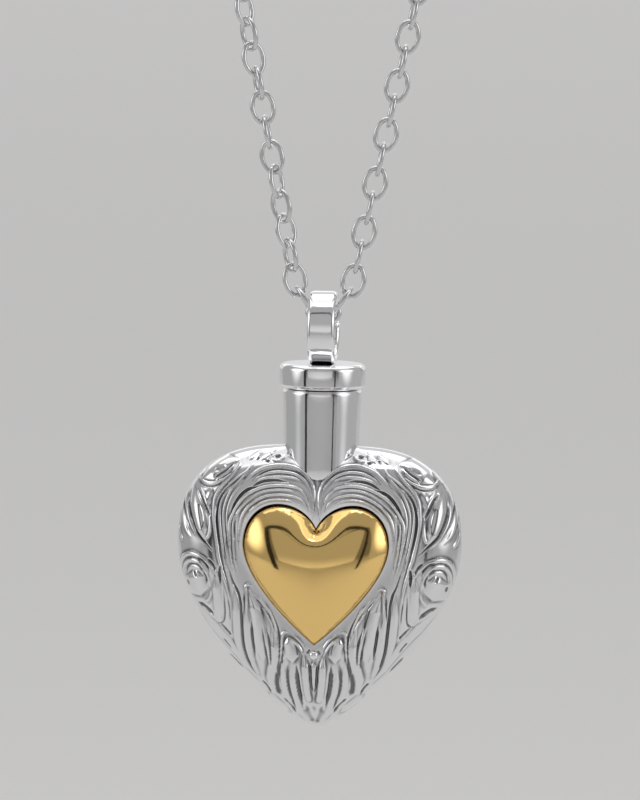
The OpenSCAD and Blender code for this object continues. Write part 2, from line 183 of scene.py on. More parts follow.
world = bpy.data.worlds.new("studio")
bpy.context.scene.world = world
world.use_nodes = True
world.node_tree.nodes["Background"].inputs["Color"].default_value = (0.16, 0.16, 0.165, 1)
bpy.context.scene.view_settings.view_transform = "Standard"

# The heart. It is one hollow silver casting with scrolls and feather leaves raised on its
# front and a smooth domed back, polished bright. Its relief is drawn in shares: x in
# hundredths of the half width, z in hundredths of the half height, the tip at 0.
share_x, share_z = 0.0825 * MM, 0.082 * MM
front_depth, back_depth, recess_floor = 2.6 * MM, 2.6 * MM, 1.9 * MM
front_dome, back_dome = 2.2, 2.4
heart_mid = 112
relief_height = 0.16 * MM

# Outlines of the right half, each row one Bezier arc of four points x, z
HEART_OUTLINE = [
    (0, 198, 72, 209, 100, 178, 100, 134),
    (100, 134, 102, 93, 66, 47, 22, 11.3),
    (22, 11.3, 14, 5, 8, 0, 0, 0),
]
GOLD_OUTLINE = [
    (0, 142, 3, 149, 12, 158.5, 26, 158.5),
    (26, 158.5, 40, 158.5, 50.5, 147, 50.5, 131),
    (50.5, 131, 50.5, 112, 29, 85, 0, 61),
]


def outline_at(rows, ends, s):
    """Points of an outline at shares s of its whole run, its arcs ending at the shares given."""
    ends = np.array(ends)
    k = np.clip(np.searchsorted(ends, s, side="right") - 1, 0, len(rows) - 1)
    a, b, c, d = np.moveaxis(np.array(rows, float)[k].reshape(-1, 4, 2), 1, 0)
    t = ((s - ends[k]) / (ends[k + 1] - ends[k]))[:, None]
    return (1 - t) ** 3 * a + 3 * t * (1 - t) ** 2 * b + 3 * t * t * (1 - t) * c + t ** 3 * d


def gold_line(s):
    return outline_at(GOLD_OUTLINE, [0, 0.14, 0.5, 1], s)


def recess_line(s):
    """Edge of the recess: the gold heart's outline, a little larger about its middle."""
    recess_wide, recess_tall, recess_mid = 1.02, 1.025, 75
    x, z = gold_line(s).T
    return np.column_stack([x * recess_wide, recess_mid + (z - recess_mid) * recess_tall])


# Wires of the right half: height, half width, pointed ends (0 none, 1 the first, 2 the last,
# 3 both), points x, z
WIRES = [
    # arches over the lobe, from the outside in
    (0.6, 1.25, 3, [(2.6, 150), (1.9, 158), (1.9, 167), (3.2, 173), (5.5, 177), (8.5, 180.7),
        (12.3, 184), (17, 186.3), (22, 187.6), (28, 187.8), (34, 186.8), (40, 184.6),
        (45, 181), (49.5, 176.5), (52.5, 172)]),
    (0.5, 1.1, 3, [(3, 163), (4.8, 171), (8.5, 176.3), (13.5, 180.2), (19, 182.3),
        (26, 183.2), (33, 182.6), (38, 180.8), (42, 178)]),
    (0.36, 0.9, 3, [(10, 175.6), (15, 178.2), (21, 179.6), (27, 179.9), (33, 179.3),
        (39, 177.6), (43.5, 174.8)]),
    (0.62, 1.25, 3, [(4.6, 157), (6.3, 163.5), (9.3, 168.4), (13.5, 171.7), (20, 173.4),
        (27, 173.9), (34, 173.1), (40, 171.2), (45, 168.7), (49.3, 165.8), (52.9, 162.3),
        (56.2, 157.6), (59, 152.3), (60.9, 147.3), (61.5, 141.5), (61.2, 134.5),
        (60.4, 127.5), (59.1, 120.5), (57.5, 113.5), (55.6, 107)]),
    (0.36, 0.85, 3, [(14, 169), (21, 170.7), (28, 171), (35, 170), (41, 167.8), (46, 164.8)]),
    (0.55, 1.1, 3, [(5.6, 155), (8.8, 161.8), (14, 165.2), (21, 167), (27, 167.4),
        (34, 166.4), (40, 163.8), (46, 159.6), (50, 154.8), (52.6, 149.8), (54.2, 143.5),
        (54.8, 136), (54, 127)]),
    (0.4, 0.8, 3, [(12, 160.6), (19, 163.2), (27, 163.9), (34, 162.9), (40, 160.3),
        (45.5, 155.9), (49.5, 150.5)]),
    (0.5, 1.0, 3, [(43, 166.6), (49, 161), (53.4, 156.4), (56.3, 152), (58.1, 147),
        (58.9, 141.5), (58.7, 134.5), (57.8, 126), (56.2, 118), (54.2, 110)]),
    # bands that flow from the shoulder down the side
    (0.36, 0.85, 3, [(52, 174), (56, 169.6), (59.5, 164), (62, 157), (63.1, 150), (63, 142),
        (62.2, 134), (61, 126)]),
    (0.5, 1.0, 3, [(48.5, 182), (54, 177), (59, 171), (62.4, 164.5), (64.8, 157), (65.6, 150),
        (65.4, 142), (64.5, 134), (63.2, 126.5), (61.6, 119.5)]),
    (0.62, 1.2, 3, [(46, 188.5), (49.3, 183), (54.3, 178.9), (59.3, 174.5), (63.5, 169.4),
        (66.2, 164.4), (67.7, 159.4), (68.5, 153.4), (68.4, 146.4), (67.6, 139.4),
        (66.4, 131.4), (65, 123.4), (62.9, 113.5), (60.6, 105)]),
    (0.66, 1.35, 3, [(58, 192), (55.7, 189), (56, 185), (58.8, 180.8), (62.3, 176.8),
        (66.3, 172.8), (69.5, 168.2), (71.5, 163), (72.3, 156.4), (72.3, 148.4),
        (71.5, 140.4), (70.4, 132.5), (68.6, 122.4), (66.9, 117), (65.4, 111.5),
        (63.7, 106.4), (62.1, 100.4), (60.8, 94.4), (60.1, 86), (59.8, 76), (59.3, 66)]),
    # scroll on the shoulder
    (0.5, 1.1, 3, [(59.3, 186.5), (63.6, 181.6), (68.8, 177.9), (72.5, 175)]),
    (0.45, 1.1, 3, [(61.5, 180), (67, 176.2), (73, 173.7), (79, 173.6), (83, 176),
        (85.4, 180.5)]),
    # leaves and crescents of the outer edge
    (0.55, 1.3, 3, [(83.6, 171), (79.6, 164.5), (76, 157), (74.4, 152.5)]),
    (0.3, 0.95, 3, [(75.5, 151), (75.3, 144), (76, 138.3), (77.7, 135.4), (79.4, 138.2),
        (79.4, 145), (80, 152), (83, 160), (87, 167.5)]),
    (0.6, 1.4, 3, [(91, 171), (93.2, 164), (92.9, 156), (90.9, 148), (87.9, 141.5),
        (84, 135.5), (79, 130.5)]),
    (0.55, 1.3, 3, [(94.5, 167), (96.3, 158.5), (96, 149.5), (93.6, 140.5), (89.5, 134)]),
    (0.45, 1.2, 3, [(99, 141), (98, 136), (95.8, 130.5)]),
    # side scroll and the arch over it
    (0.66, 1.9, 3, [(67.5, 104), (69.5, 110), (72.8, 115), (77.5, 119), (83.5, 122),
        (89.5, 122.6), (94.3, 119.4), (96.3, 112.5), (95.4, 105)]),
    (0.5, 1.2, 3, [(74, 100), (75.5, 106.5), (78.2, 112.6), (82, 116.8), (87, 118.2),
        (91.5, 116.8), (94.2, 111.5), (93.8, 104)]),
    (0.45, 1.1, 3, [(79.5, 105), (82.2, 108.2), (85.3, 111.2)]),
    (0.4, 1.0, 3, [(74.3, 100.5), (74, 95), (76.4, 90.8), (80, 88.9)]),
    # rims of the feather leaves
    (0.5, 1.0, 3, [(43.8, 101), (46.2, 102.6), (48.6, 101), (48.2, 97), (48.4, 88), (48, 78)]),
    (0.55, 1.0, 3, [(46, 98.5), (41.5, 94), (37, 88.5), (33, 81.5), (30.2, 75), (28, 68)]),
    (0.4, 0.9, 3, [(38.4, 93), (33.5, 87), (30, 80), (27.3, 73), (25.8, 66)]),
    (0.5, 0.9, 3, [(18, 69.3), (20.2, 70.4), (22.3, 69), (23, 64), (22.9, 56), (23.6, 48)]),
    (0.6, 1.0, 3, [(19.6, 66.8), (15.5, 64.6), (11.8, 61.4), (9.2, 57.5), (7, 53)]),
    (0.4, 0.9, 3, [(15.5, 68), (11.3, 64.8), (8.2, 61), (6.3, 57.8)]),
    (0.35, 0.9, 3, [(28, 62), (27.4, 52), (28.8, 44)]),
    (0.4, 1.0, 3, [(34.4, 70), (32.8, 60), (31.4, 48)]),
    (0.4, 1.1, 3, [(60.2, 65.4), (63.4, 69), (67, 72.6)]),
]

# Broad soft forms of the right half, by the same columns
PADS = [
    (0.95, 5.0, 3, [(57, 189.4), (64, 188.2), (70, 185), (76, 180.6), (82, 176)]),
    (0.5, 3.4, 3, [(74, 170), (77, 163), (75.5, 158)]),
    (0.7, 4.4, 3, [(88, 169.5), (86, 158), (84, 149), (81.5, 140.5), (79, 134)]),
    (0.8, 8.0, 3, [(87, 110), (84.5, 101), (81.5, 93)]),
    (0.5, 3.4, 3, [(70.5, 108), (69.8, 96), (69, 84), (68, 76.5)]),
    (0.55, 3.0, 3, [(56.2, 98), (56, 86), (55.6, 72), (53.5, 58), (49.5, 47), (44, 38.5)]),
    (0.9, 5.2, 3, [(46, 97), (41.5, 86), (39, 72), (37, 60), (36, 48)]),
    (0.6, 2.6, 3, [(49, 90), (48.6, 74), (47, 60), (44, 48), (39.5, 38)]),
    (0.8, 4.4, 3, [(29.8, 74), (27.3, 62), (27, 52), (29.5, 42), (30.4, 34), (28.8, 26)]),
    (0.9, 5.0, 3, [(18.5, 66), (15.5, 58), (14.6, 48)]),
    (0.8, 2.7, 1, [(6.8, 55), (6.3, 45), (5.8, 36), (4.8, 27), (3.9, 21.8)]),
    (0.7, 2.6, 3, [(15.4, 50), (15.4, 38), (14.6, 28), (12.2, 19.4), (9.4, 11), (5, 5)]),
    (0.6, 2.4, 3, [(21.8, 50), (21.8, 38), (20.6, 28), (17.8, 20.4), (14.8, 15.5)]),
    (0.6, 1.7, 3, [(0.1, 50), (0.1, 40), (0.1, 29)]),
    (0.7, 3.4, 3, [(84, 84.5), (75, 75), (65, 64.5), (55, 53.5), (45, 41.5), (37, 31.5)]),
    (0.6, 2.4, 3, [(33, 24), (26, 18), (18, 11)]),
    (0.45, 1.5, 3, [(24, 195), (26, 192), (30, 190.6), (34, 192)]),
    (0.4, 1.4, 3, [(33, 195.5), (37, 193.4), (40.5, 190)]),
    (0.4, 1.4, 3, [(41, 196), (45.5, 193), (49.5, 189.4)]),
]

# Cut strokes of the right half, by the same columns
GROOVES = [
    (0.5, 0.8, 3, [(6.4, 175.4), (9.6, 179.2), (14, 182.4), (19, 184.2), (25, 185.1),
        (31, 184.7), (37, 182.8), (42, 179.6), (45.5, 176.2)]),
    (0.7, 1.1, 3, [(19, 175.8), (26, 177.3), (32, 177.3), (38, 176.1), (43, 173.6), (46.5, 171)]),
    (0.9, 1.2, 3, [(41, 172.6), (45.4, 171.2), (49.6, 169), (52.9, 166), (55.8, 161.8),
        (58.6, 156.5), (60.8, 151)]),
    (0.9, 1.2, 3, [(51, 181.5), (54, 178.8), (59.5, 174), (63.8, 169.4), (67, 164.6),
        (69, 158.6), (70, 152), (70, 144), (69, 136), (67.6, 128)]),
    (0.5, 0.7, 3, [(55.8, 154.2), (57.4, 148.6), (57.9, 142.5), (57.4, 135)]),
    (0.8, 1.0, 3, [(60.2, 187), (65, 182.8), (69.3, 180), (72.6, 177.4)]),
    (0.3, 1.8, 3, [(64, 184.4), (68.5, 183.4), (72.5, 181)]),
    (0.4, 0.8, 3, [(63, 177.6), (68, 174), (74, 171.4), (80.5, 171.6), (84.8, 174.8)]),
    (0.9, 1.0, 3, [(90.6, 166), (90.8, 158), (89.6, 150), (86.2, 141), (82, 135), (77, 130),
        (72.4, 125.6)]),
    (0.9, 1.1, 3, [(85, 169.4), (81.6, 163.6), (78.4, 157), (75.4, 150.6)]),
    (0.5, 0.8, 3, [(95, 165), (94.9, 157), (93.4, 149), (90.4, 141)]),
    (0.9, 1.1, 3, [(69.8, 111), (72.8, 116.6), (76.8, 120.4)]),
    (0.8, 1.0, 3, [(74.6, 111.6), (77.2, 116), (80.4, 119.3), (84, 120.8)]),
    (0.5, 0.9, 3, [(79.4, 110.6), (81.8, 113.8), (85.4, 115.2), (89.4, 114.8), (91.6, 111.5),
        (91.8, 106)]),
    (0.45, 1.3, 3, [(91.6, 103.4), (90, 99.5)]),
    (0.35, 0.9, 3, [(83.2, 106.2), (86.2, 110.6)]),
    (0.4, 0.9, 3, [(76.8, 102.5), (77.4, 107.5), (79.2, 111.4)]),
    (0.8, 1.1, 3, [(66.6, 117), (67.4, 110), (66.6, 102)]),
    (0.7, 1.2, 3, [(62.5, 118), (59.5, 110), (57.4, 103.4), (54.4, 97), (52.7, 89),
        (52.3, 80), (51.6, 69), (50.4, 58), (48, 50), (45.4, 44), (42, 38.6), (38.4, 33.4)]),
    (0.5, 0.7, 3, [(50.2, 97), (50.1, 88), (51, 79)]),
    (0.5, 0.7, 3, [(64.4, 101), (64.4, 90), (64.3, 81), (65, 76.4), (67, 74.2), (70.4, 74)]),
    (0.4, 0.7, 3, [(61.8, 92), (60.6, 84), (60.4, 76)]),
    (0.7, 0.9, 3, [(59.4, 66), (61, 67), (67.4, 74)]),
    (0.6, 1.7, 3, [(72.2, 79), (76, 82.8), (80.6, 86.2), (84.6, 88)]),
    (0.6, 0.8, 3, [(44.4, 97.4), (39.6, 91.6), (35.2, 85.6), (32.2, 80.6), (29.2, 74)]),
    (0.5, 0.8, 3, [(31, 86), (28, 78), (25.2, 70), (24.2, 63), (24, 55), (24.6, 48), (26.2, 41)]),
    (0.4, 0.7, 3, [(21.6, 62), (21.9, 54), (22.4, 47)]),
    (0.6, 0.8, 3, [(37.4, 75), (36, 67), (34.7, 60), (33.4, 52), (32.2, 45)]),
    (0.5, 0.7, 3, [(35, 74), (32.6, 66.5), (31, 59), (30.3, 51), (30.1, 44)]),
    (0.8, 1.1, 3, [(45, 76.5), (44.4, 68), (43.3, 60), (41.4, 50.5)]),
    (0.75, 1.9, 3, [(12.2, 46.5), (11.9, 39), (11.2, 31), (10, 23.5), (8.2, 17)]),
    (0.2, 1.0, 3, [(18.1, 47.5), (18.7, 40), (18.4, 31), (17, 22)]),
    (0.5, 2.6, 3, [(27, 41.5), (27.2, 34), (26, 27.6), (23.6, 22.8)]),
    (0.6, 1.0, 3, [(38, 33.6), (34.6, 29.8), (31.4, 24.4)]),
    (0.8, 1.2, 3, [(22.6, 21.6), (17.6, 16.8), (13.4, 10.6)]),
    (0.6, 1.0, 3, [(65, 63.2), (62, 59.6), (58.6, 55)]),
    (0.5, 0.9, 3, [(62, 51.5), (57, 46.4), (51, 40.6)]),
    (0.5, 0.9, 3, [(4.2, 50.5), (2.8, 45), (2.1, 38), (1.6, 31), (0.3, 26.8)]),
    (0.5, 3.2, 3, [(6.2, 17), (3.8, 11.6), (1.4, 6.2), (0.2, 3)]),
    (0.5, 3.8, 3, [(0, 17.5), (0, 10), (0, 4)]),
    (0.7, 1.0, 3, [(2.6, 57.4), (4.8, 54.4)]),
    (0.5, 1.0, 3, [(27, 193.6), (31, 193.2)]),
    (0.5, 1.0, 3, [(34.5, 189.6), (37.5, 190.2)]),
    (0.4, 1.0, 3, [(42, 192), (44, 189.8)]),
]


def smooth_line(points, steps=6):
    """Smooth curve through the points, as a row of short straight steps."""
    p = np.array(points, float)
    out = []
    for i in range(len(p) - 1):
        a, b, c, d = p[max(i - 1, 0)], p[i], p[i + 1], p[min(i + 2, len(p) - 1)]
        for t in np.arange(steps) / steps:
            square, cube = 2 * a - 5 * b + 4 * c - d, 3 * b - 3 * c + d - a
            out.append(0.5 * (2 * b + (c - a) * t + square * t * t + cube * t ** 3))
    out.append(p[-1])
    return np.array(out)


def strokes_at(points, rows, profile):
    """Greatest height of the strokes at each of the points."""
    tip_width, tip_slope = 0.15, 3.4
    height = np.zeros(len(points))
    for top, width, ends, line in rows:
        line = smooth_line(line)
        low, high = line.min(0) - width, line.max(0) + width
        near = np.nonzero(((points >= low) & (points <= high)).all(1))[0]
        if not len(near):
            continue
        p = points[near][:, None]
        a, ab = line[:-1][None], (line[1:] - line[:-1])[None]
        f = np.clip(((p - a) * ab).sum(2) / (ab ** 2).sum(2), 0, 1)
        far = np.linalg.norm(p - a - ab * f[..., None], axis=2)
        best = far.argmin(1)
        pick = np.arange(len(near))
        u = (best + f[pick, best]) / (len(line) - 1)
        narrow = np.ones(len(near))
        if ends % 2:
            narrow = np.minimum(narrow, tip_width + tip_slope * u)
        if ends >= 2:
            narrow = np.minimum(narrow, tip_width + tip_slope * (1 - u))
        q = far[pick, best] / (width * narrow)
        rise = np.where(q < 1, np.clip(1 - q * q, 0, 1) ** profile, 0) * narrow * top
        height[near] = np.maximum(height[near], rise)
    return height


half_steps, front_rings, back_rings = 345, 125, 14
steps = np.linspace(0, 1, half_steps + 1)
inner_line, outer_line = recess_line(steps), outline_at(HEART_OUTLINE, [0, 0.45, 0.92, 1], steps)
even_share = np.arange(front_rings + 1) / front_rings
# rings lie a little closer towards the rim, where the dome is steep
ring_share = 0.8 * even_share + 0.2 * np.sin(even_share * math.pi / 2)


def eased(value):
    value = np.clip(value, 0, 1)
    return value * value * (3 - 2 * value)


def softened(values, radius):
    """Mean over neighbouring rings and steps."""
    rows, columns = values.shape
    total = np.zeros(values.shape)
    for i in range(-radius, radius + 1):
        moved = values[np.clip(np.arange(rows) + i, 0, rows - 1)]
        for j in range(-radius, radius + 1):
            total += moved[:, np.clip(np.arange(columns) + j, 0, columns - 1)]
    return total / (2 * radius + 1) ** 2


def neck_sink(x, z):
    """Share by which the dome sinks beside the neck, from height 186 up and from 36 inwards."""
    return 0.22 * eased((z - 186) / 9) * eased((36 - x) / 14)


def hand_drawn(plan, sign):
    """Places with the slight unevenness of hand work, different on the two halves."""
    waver = 0.4
    flat = plan.reshape(-1, 2).copy()
    flat[:, 0] += waver * np.sin(flat[:, 1] * 0.11 + sign) * np.clip(flat[:, 0] / 20, 0, 1)
    flat[:, 1] += waver * np.sin(flat[:, 0] * 0.13 + 2 * sign)
    return flat


def front_side(sign):
    """Displaced points of one half of the front, ring by ring, and each one's level of painted
    shade: 1 on open relief, lower in its hollows.
    """
    shared_part, hollow_reach, hollow_depth, rim_power = 0.35, 4, 0.22, 10
    t = ring_share[:, None]
    plan = inner_line[None] + (outer_line - inner_line)[None] * t[..., None]
    depth = front_depth * np.sqrt(np.clip(1 - t ** front_dome, 0, 1))
    depth = depth * (1 - neck_sink(plan[..., 0], plan[..., 1]))
    base = np.stack([plan[..., 0] * share_x, -depth, plan[..., 1] * share_z], axis=2)
    normal = np.cross(np.gradient(base, axis=1), np.gradient(base, axis=0))
    normal /= np.linalg.norm(normal, axis=2, keepdims=True) + 1e-12
    normal *= np.where(normal[..., 1:2] > 0, -1, 1)
    flat = hand_drawn(plan, sign)
    wires = strokes_at(flat, WIRES, profile=0.8)
    pads = strokes_at(flat, PADS, profile=1.3)
    cuts = strokes_at(flat, GROOVES, profile=1.1)
    relief = np.maximum(wires, pads) + shared_part * np.minimum(wires, pads) - cuts
    relief = relief.reshape(plan.shape[:2])
    # painted shade: how deep each point lies below the mean of its neighbours, which later
    # darkens the colour in the relief's hollows
    hollow = np.clip((softened(relief, hollow_reach) - relief) / hollow_depth, 0, 1)
    rim_fade = np.sqrt(np.clip(1 - t ** rim_power, 0, 1))
    moved = base + normal * (relief * relief_height * rim_fade)[..., None]
    moved[..., 0] = np.maximum(moved[..., 0], 0)
    moved[:, [0, -1], 0] = 0
    moved[..., 0] *= sign
    return moved, 1 - hollow


def whole_rings(right_half, left_half):
    """Closed rings from the two halves, which share their first and last points."""
    return np.concatenate([right_half, left_half[:, -2:0:-1]], axis=1)


def flat_half(line, t, y):
    """Right half of a flat ring: an outline at share t of its size about the heart's middle."""
    z = heart_mid + (line[:, 1] - heart_mid) * t
    return np.column_stack([line[:, 0] * t * share_x, np.full(len(line), y), z * share_z])


def mirrored(half):
    """Closed ring from its right half."""
    other = half[-2:0:-1].copy()
    other[:, 0] *= -1
    return np.concatenate([half, other])


# painted shade: besides the points, each half gives a level that darkens the colour in the
# relief's hollows
front, painted_light_level = (whole_rings(*halves) for halves in zip(front_side(1), front_side(-1)))
# painted shade: the recess floor is given a darker colour level than the open relief
recess_painted_shade = 0.4
recess = np.array([mirrored(flat_half(inner_line, t, -recess_floor)) for t in (0.6, 1)])
back_shares = 1 - (np.arange(1, back_rings + 1) / (back_rings + 1)) ** 1.6
back_depths = back_depth * np.sqrt(1 - back_shares ** back_dome)
back = np.array([mirrored(flat_half(outer_line, t, y)) for t, y in zip(back_shares, back_depths)])
heart_rings = np.concatenate([recess, front, back])
# painted shade: the recess floor takes its darker level, the relief its own levels and the back
# none
recess_values, back_values = np.full(recess.shape[:2], recess_painted_shade), np.ones(back.shape[:2])
painted_shade_values = np.concatenate([recess_values, painted_light_level, back_values])


def ringed_mesh(name, first, ring_points, last, relief=None):
    """Closed mesh from one end point through equal rings to the other end point, with levels of
    painted shade as its colour attribute when given.
    """
    m, n = ring_points.shape[:2]
    verts = np.concatenate([[first], ring_points.reshape(-1, 3), [last]])
    verts[:, 2] += heart_tip_z
    here = np.arange(n)
    after = (here + 1) % n
    ring_starts = 1 + np.arange(m - 1)[:, None] * n
    a, b = (ring_starts + here).ravel(), (ring_starts + after).ravel()
    end, last_ring = m * n + 1, 1 + (m - 1) * n
    faces = np.column_stack([np.zeros(n, int), 1 + after, 1 + here]).tolist()
    faces += np.column_stack([a, b, b + n, a + n]).tolist()
    faces += np.column_stack([np.full(n, end), last_ring + here, last_ring + after]).tolist()
    obj = plain_object(name, verts, faces)
    if relief is not None:
        # painted shade: the levels go into a colour attribute that darkens the base colour in the
        # hollows and on the recess floor
        layer = obj.data.color_attributes.new("relief", "FLOAT_COLOR", "POINT")
        shade = np.concatenate([[recess_painted_shade], relief.ravel(), [1]])
        colours = np.column_stack([shade, shade, shade, np.ones(len(shade))])
        layer.data.foreach_set("color", colours.ravel())
    return obj


heart_floor_mid = (0, -recess_floor, heart_mid * share_z)
heart_back_mid = (0, back_depth, heart_mid * share_z)
heart = ringed_mesh("heart_casting", heart_floor_mid, heart_rings, heart_back_mid, painted_shade_values)

# Marks of the polishing cloth, as a rough value and a height
polish_marks = bpy.data.node_groups.new("polish_marks", "ShaderNodeTree")
group_sockets = {"INPUT": ("Roughness", "Spread", "Scale"), "OUTPUT": ("Roughness", "Height")}
for side, labels in group_sockets.items():
    for label in labels:
        polish_marks.interface.new_socket(name=label, in_out=side, socket_type="NodeSocketFloat")
g = polish_marks.nodes
link = polish_marks.links.new
group_in, group_out = g.new("NodeGroupInput"), g.new("NodeGroupOutput")
where = g.new("ShaderNodeTexCoord")
haze = g.new("ShaderNodeTexNoise")
haze.inputs["Detail"].default_value = 5
streak_map = g.new("ShaderNodeMapping")
streak_map.inputs["Scale"].default_value = (1, 1, 9)
streak_map.inputs["Rotation"].default_value = (0.3, 0.6, 0.2)
streaks = g.new("ShaderNodeTexNoise")
streaks.inputs["Detail"].default_value = 6
fine_scale, spread, total = (g.new("ShaderNodeMath") for _ in range(3))
fine_scale.operation, spread.operation, total.operation = "MULTIPLY", "MULTIPLY_ADD", "ADD"
fine_scale.inputs[1].default_value = 5
link(where.outputs["Object"], haze.inputs["Vector"])
link(group_in.outputs["Scale"], haze.inputs["Scale"])
link(group_in.outputs["Scale"], fine_scale.inputs[0])
link(where.outputs["Object"], streak_map.inputs["Vector"])
link(streak_map.outputs["Vector"], streaks.inputs["Vector"])
link(fine_scale.outputs[0], streaks.inputs["Scale"])
link(haze.outputs["Fac"], spread.inputs[0])
link(group_in.outputs["Spread"], spread.inputs[1])
link(group_in.outputs["Roughness"], spread.inputs[2])
link(spread.outputs[0], group_out.inputs["Roughness"])
link(haze.outputs["Fac"], total.inputs[0])
link(streaks.outputs["Fac"], total.inputs[1])
link(total.outputs[0], group_out.inputs["Height"])


def polished_metal(name, colour, rough, rough_spread, marks_scale, bump, painted_shade_in_hollows=None):
    """Bright metal with polishing marks, with painted shade darkening the hollows of a relief if
    so asked.
    """
    material = bpy.data.materials.new(name)
    material.use_nodes = True
    tree = material.node_tree
    shader = tree.nodes["Principled BSDF"]
    shader.inputs["Metallic"].default_value = 1
    shader.inputs["Base Color"].default_value = (*colour, 1)
    marks = tree.nodes.new("ShaderNodeGroup")
    marks.node_tree = polish_marks
    marks.inputs["Roughness"].default_value = rough
    marks.inputs["Spread"].default_value = rough_spread
    marks.inputs["Scale"].default_value = marks_scale
    bumps = tree.nodes.new("ShaderNodeBump")
    bumps.inputs["Strength"].default_value = bump
    bumps.inputs["Distance"].default_value = 0.02 * MM
    tree.links.new(marks.outputs["Roughness"], shader.inputs["Roughness"])
    tree.links.new(marks.outputs["Height"], bumps.inputs["Height"])
    tree.links.new(bumps.outputs["Normal"], shader.inputs["Normal"])
    if painted_shade_in_hollows:
        # painted shade: the colour attribute's level blends the base colour towards the painted
        # shade colour in the hollows
        depth = tree.nodes.new("ShaderNodeAttribute")
        depth.attribute_name = "relief"
        tint = tree.nodes.new("ShaderNodeValToRGB")
        hollow_end, open_end = tint.color_ramp.elements
        hollow_end.position, hollow_end.color = 0.05, (*painted_shade_in_hollows, 1)
        open_end.position, open_end.color = 0.95, (*colour, 1)
        tree.links.new(depth.outputs["Fac"], tint.inputs["Fac"])
        tree.links.new(tint.outputs["Color"], shader.inputs["Base Color"])
    return material


# painted shade: the dark colour stands for the shade in the heart's hollows and on its recess
# floor
silver, painted_shade_colour = (0.8, 0.8, 0.81), (0.17, 0.17, 0.175)
cast_silver = polished_metal("cast_silver", silver, 0.08, 0.07, 700, 0.05, painted_shade_colour)
heart.data.materials.append(cast_silver)
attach(heart, "urn")
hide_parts("heart_urn")

# The neck. It is a turned tube of the same silver soldered into the heart's cleft, made as a
# lathe profile with a slight widening upwards, a rounded rim and the bore for the cap's stud.


def ring_faces(count, around, closed=True):
    """Faces between equal rings in a row, and from the last to the first when closed."""
    faces = []
    for i in range(count if closed else count - 1):
        low, high = i * around, (i + 1) % count * around
        for j in range(around):
            after = (j + 1) % around
            faces.append((low + j, low + after, high + after, high + j))
    return faces


def lathe(name, profile, around, closed=False):
    """Turned mesh from a profile of radius and height over the heart's tip, in millimetres."""
    radius, height = np.array(profile, float).T[..., None] * MM
    m = len(profile)
    angle = np.linspace(0, 2 * math.pi, around, endpoint=False)
    rings = [radius * np.cos(angle), radius * np.sin(angle), height + 0 * angle + heart_tip_z]
    verts = np.stack(rings, axis=2).reshape(-1, 3)
    faces = ring_faces(m, around, closed)
    if not closed:
        faces.append(range(around - 1, -1, -1))
        faces.append(range((m - 1) * around, m * around))
    return plain_object(name, verts, faces)


def rounded(centre, radius, first, last, count=5):
    """Points of a corner's arc, from one angle to another in degrees."""
    angles = np.radians(np.linspace(first, last, count))
    return [(centre[0] + radius * math.cos(a), centre[1] + radius * math.sin(a)) for a in angles]


neck_bore = 1.35
neck_profile = [(neck_bore, 13.4), (1.6, 13.4), (2.16, 14.68), (2.17, 15.2), (2.19, 16.2)]
neck_profile += [(2.22, 17.2), (2.255, 18.2), (2.28, 18.9), (2.29, 19.4)]
neck_profile += rounded((2.11, 19.52), 0.18, 0, 90, 8)
neck_profile += rounded((1.45, 19.6), 0.1, 90, 180) + [(neck_bore, 17.0)]
neck = lathe("neck", neck_profile, 96, closed=True)
turned_silver = polished_metal("turned_silver", (0.89, 0.89, 0.9), 0.06, 0.05, 500, 0.03)
neck.data.materials.append(turned_silver)
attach(neck, "urn")
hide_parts("heart_urn")

# The bead under the gold heart. It is a small round grain of silver cast with the heart, made
# as a ball set into the heart's front.
bead_r, bead_half, bead_z, near_axis = 0.29, 0.293, 4.42, 0.001
bead_profile = [(near_axis, bead_z - bead_half), *rounded((0, bead_z), bead_r, -80, 80, 17)]
bead_profile.append((near_axis, bead_z + bead_half))
bead = lathe("bead", bead_profile, 32)
bead.data.transform(Matrix.Translation((0, -front_depth - 0.02 * MM, 0)))
bead.data.materials.append(turned_silver)
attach(bead, "urn")
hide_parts("heart_urn")

# The gold heart, pressed from yellow gold sheet to a puffed dome and set into the recess. Its
# height over each point is that of a skin blown up over its outline.
gold_half = gold_line(np.linspace(0, 1, 201))
gold_edge, gold_rise, gold_back = 0.5 * MM, 1.6 * MM, 1.95 * MM
skin_rounds = 2500
span_x, low_z, high_z = 56, 56, 164
grid_x, grid_z = np.arange(-span_x, span_x + 1), np.arange(low_z, high_z + 1)


def inside(points, polygon):
    """Which of the points lie inside the polygon."""
    x, z = points[:, 0][:, None], points[:, 1][:, None]
    a, b = polygon[None], np.roll(polygon, -1, axis=0)[None]
    run, climb = b[..., 0] - a[..., 0], b[..., 1] - a[..., 1] + 1e-9
    spans = (a[..., 1] > z) != (b[..., 1] > z)
    crosses = spans & (x < run * (z - a[..., 1]) / climb + a[..., 0])
    return crosses.sum(1) % 2 == 1


mesh_x, mesh_z = np.meshgrid(grid_x, grid_z, indexing="ij")
mesh_points = np.column_stack([mesh_x.ravel(), mesh_z.ravel()]).astype(float)
within = inside(mesh_points, mirrored(gold_half)).reshape(mesh_x.shape)
blown = np.zeros(mesh_x.shape)
for _ in range(skin_rounds):
    sums = blown[2:, 1:-1] + blown[:-2, 1:-1] + blown[1:-1, 2:] + blown[1:-1, :-2]
    blown[1:-1, 1:-1] = sums / 4 + 1
    blown *= within
blown /= blown.max()


def blown_at(x, z):
    """Height of the skin between the points of its grid."""
    fx = np.clip(x + span_x, 0, len(grid_x) - 1.001)
    fz = np.clip(z - low_z, 0, len(grid_z) - 1.001)
    i, j = fx.astype(int), fz.astype(int)
    u, v = fx - i, fz - j
    low_side = blown[i, j] * (1 - u) * (1 - v) + blown[i + 1, j] * u * (1 - v)
    return low_side + blown[i, j + 1] * (1 - u) * v + blown[i + 1, j + 1] * u * v


